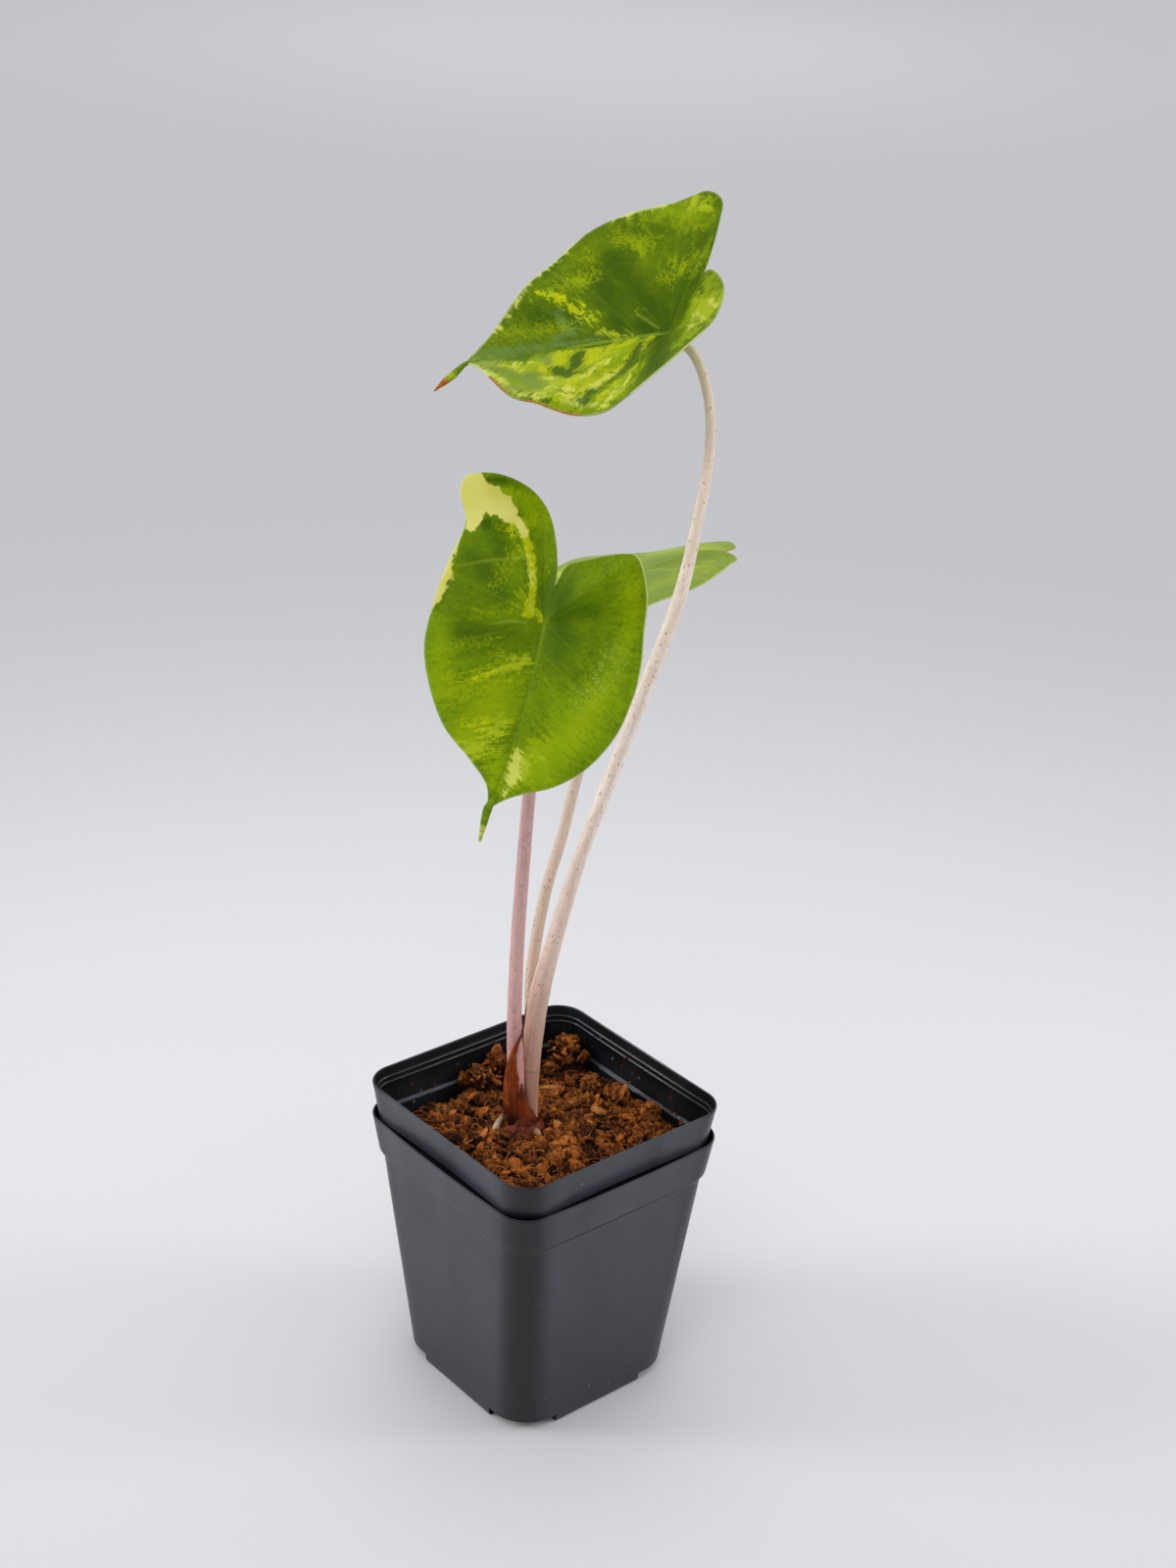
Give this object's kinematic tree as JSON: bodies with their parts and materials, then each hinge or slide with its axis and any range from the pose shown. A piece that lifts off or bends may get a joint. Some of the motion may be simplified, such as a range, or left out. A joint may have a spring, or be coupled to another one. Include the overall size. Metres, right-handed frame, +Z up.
{
  "type": "potted alocasia plant",
  "caption": "Young stingray alocasia with marbled heart-shaped leaves on slim stalks, growing in coir in nested square nursery pots.",
  "frame": {"origin": "centre of the outer pot's bottom, on the surface it stands on", "axes": "+Z up, the pot's sides along X and Y; the picture was taken from between +X and -Y, about 50 degrees round from -Y"},
  "size_m": [0.1214, 0.1505, 0.4104],
  "materials": {
    "pot_plastic": "thin dark grey nursery plastic, satin with faint scuffs",
    "coir": "coir chips and fibre, orange brown, lumpy",
    "corm": "dark maroon stem base, dull",
    "stalk_upper": "beige leaf stalk with small brown flecks, satin",
    "stalk_front": "pinkish leaf stalk, satin",
    "stalk_back": "buff leaf stalk, satin",
    "leaf_upper": "green leaf marbled with yellow and grey green, glossy",
    "leaf_front": "green leaf marbled with cream and yellow, glossy",
    "leaf_back": "light green leaf, glossy",
    "dried_sheath": "dried brown sheath, papery"
  },
  "bodies": {
    "root": {"outer_pot": "pot_plastic", "inner_pot": "pot_plastic", "coir_medium": "coir", "corm": "corm", "petiole_upper": "stalk_upper", "petiole_front": "stalk_front", "petiole_back": "stalk_back", "blade_upper": "leaf_upper", "blade_front": "leaf_front", "blade_back": "leaf_back", "cataphyll_left": "dried_sheath", "cataphyll_right": "dried_sheath"}
  },
  "joints": []
}
